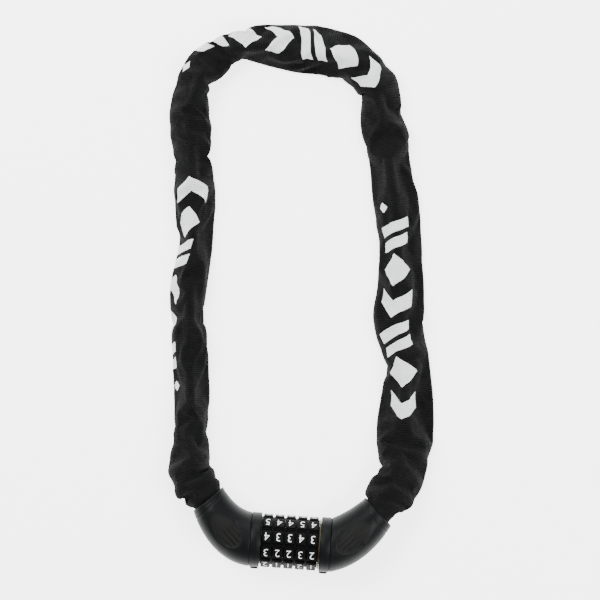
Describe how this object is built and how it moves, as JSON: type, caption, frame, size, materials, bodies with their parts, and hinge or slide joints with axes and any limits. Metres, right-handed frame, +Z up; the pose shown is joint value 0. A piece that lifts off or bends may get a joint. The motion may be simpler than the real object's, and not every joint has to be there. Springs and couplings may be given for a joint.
{
  "type": "combination chain lock",
  "caption": "Dial combination lock body with two elbow covers, joined by a chain in a woven sleeve that lies in a long closed loop.",
  "frame": {"origin": "middle of the object's box on the table it lies on", "axes": "+X along the lock's axis from the dial half to the bolt half, +Y from the lock body into the loop, +Z up from the table"},
  "size_m": [0.1954, 0.3751, 0.0379],
  "materials": {
    "cover_plastic": "satin moulded black",
    "dial_plastic": "smooth black",
    "zinc_casting": "as-cast zinc",
    "chain_steel": "plated steel",
    "sleeve_fabric": "black woven tube"
  },
  "bodies": {
    "dial_half": {"core_tube": "zinc_casting", "left_chain_anchor": "zinc_casting", "left_chain_pin": "chain_steel", "left_collar": "cover_plastic", "left_elbow_cover": "cover_plastic", "left_cover_screw": "chain_steel", "end_plate": "zinc_casting", "thrust_washer": "chain_steel", "reset_spring": "chain_steel", "detent_spring": "chain_steel"},
    "bolt_half": {"bolt": "chain_steel", "right_chain_anchor": "zinc_casting", "right_chain_pin": "chain_steel", "right_collar": "cover_plastic", "right_elbow_cover": "cover_plastic", "right_cover_screw": "chain_steel"},
    "dial_1_set": {"dial_1": "dial_plastic", "code_ring_1": "zinc_casting"},
    "dial_2_set": {"dial_2": "dial_plastic", "code_ring_2": "zinc_casting"},
    "dial_3_set": {"dial_3": "dial_plastic", "code_ring_3": "zinc_casting"},
    "dial_4_set": {"dial_4": "dial_plastic", "code_ring_4": "zinc_casting"},
    "dial_5_set": {"dial_5": "dial_plastic", "code_ring_5": "zinc_casting"},
    "reset_cam_body": {"reset_cam": "zinc_casting"},
    "chain_left": {"chain_link_01": "chain_steel", "chain_link_02": "chain_steel", "chain_link_03": "chain_steel", "chain_link_04": "chain_steel", "chain_link_05": "chain_steel", "chain_link_06": "chain_steel", "chain_link_07": "chain_steel", "chain_link_08": "chain_steel", "chain_link_09": "chain_steel", "chain_link_10": "chain_steel", "chain_link_11": "chain_steel", "chain_link_12": "chain_steel", "chain_link_13": "chain_steel", "sleeve_left": "sleeve_fabric"},
    "chain_top": {"chain_link_14": "chain_steel", "chain_link_15": "chain_steel", "chain_link_16": "chain_steel", "chain_link_17": "chain_steel", "chain_link_18": "chain_steel", "sleeve_top": "sleeve_fabric"},
    "chain_right": {"chain_link_19": "chain_steel", "chain_link_20": "chain_steel", "chain_link_21": "chain_steel", "chain_link_22": "chain_steel", "chain_link_23": "chain_steel", "chain_link_24": "chain_steel", "chain_link_25": "chain_steel", "chain_link_26": "chain_steel", "chain_link_27": "chain_steel", "chain_link_28": "chain_steel", "chain_link_29": "chain_steel", "sleeve_right": "sleeve_fabric"}
  },
  "joints": [
    {"name": "bolt_pull", "type": "slide", "parent": "dial_half", "child": "bolt_half", "axis": [1, 0, 0], "range_m": [0, 0.045]},
    {"name": "dial_1_turn", "type": "hinge", "parent": "dial_half", "child": "dial_1_set", "pos_m": [-0.0089, -0.16775, 0.019], "axis": [1, 0, 0], "continuous": true},
    {"name": "dial_2_turn", "type": "hinge", "parent": "dial_half", "child": "dial_2_set", "pos_m": [-0.001, -0.16775, 0.019], "axis": [1, 0, 0], "continuous": true},
    {"name": "dial_3_turn", "type": "hinge", "parent": "dial_half", "child": "dial_3_set", "pos_m": [0.0069, -0.16775, 0.019], "axis": [1, 0, 0], "continuous": true},
    {"name": "dial_4_turn", "type": "hinge", "parent": "dial_half", "child": "dial_4_set", "pos_m": [0.0148, -0.16775, 0.019], "axis": [1, 0, 0], "continuous": true},
    {"name": "dial_5_turn", "type": "hinge", "parent": "dial_half", "child": "dial_5_set", "pos_m": [0.0227, -0.16775, 0.019], "axis": [1, 0, 0], "continuous": true},
    {"name": "reset_cam_turn", "type": "hinge", "parent": "dial_half", "child": "reset_cam_body", "pos_m": [-0.0215, -0.16775, 0.019], "axis": [1, 0, 0], "range_deg": [0, 90]},
    {"name": "chain_left_swing", "type": "hinge", "parent": "dial_half", "child": "chain_left", "pos_m": [-0.04561, -0.15074, 0.019], "axis": [0, 0, 1], "range_deg": [-4.35, 0]},
    {"name": "chain_top_swing", "type": "hinge", "parent": "chain_left", "child": "chain_top", "pos_m": [-0.06026, 0.16912, 0.0103], "axis": [0, 0, 1], "range_deg": [0, 3.4]},
    {"name": "chain_right_swing", "type": "hinge", "parent": "chain_top", "child": "chain_right", "pos_m": [0.0508, 0.12542, 0.0103], "axis": [0, 0, 1], "range_deg": [0, 5.6]}
  ],
  "couplings": [
    {"joint": "chain_left_swing", "follows": "bolt_pull", "rad_per_m": -1.6514},
    {"joint": "chain_top_swing", "follows": "bolt_pull", "rad_per_m": 1.281},
    {"joint": "chain_right_swing", "follows": "bolt_pull", "rad_per_m": 2.1401}
  ]
}
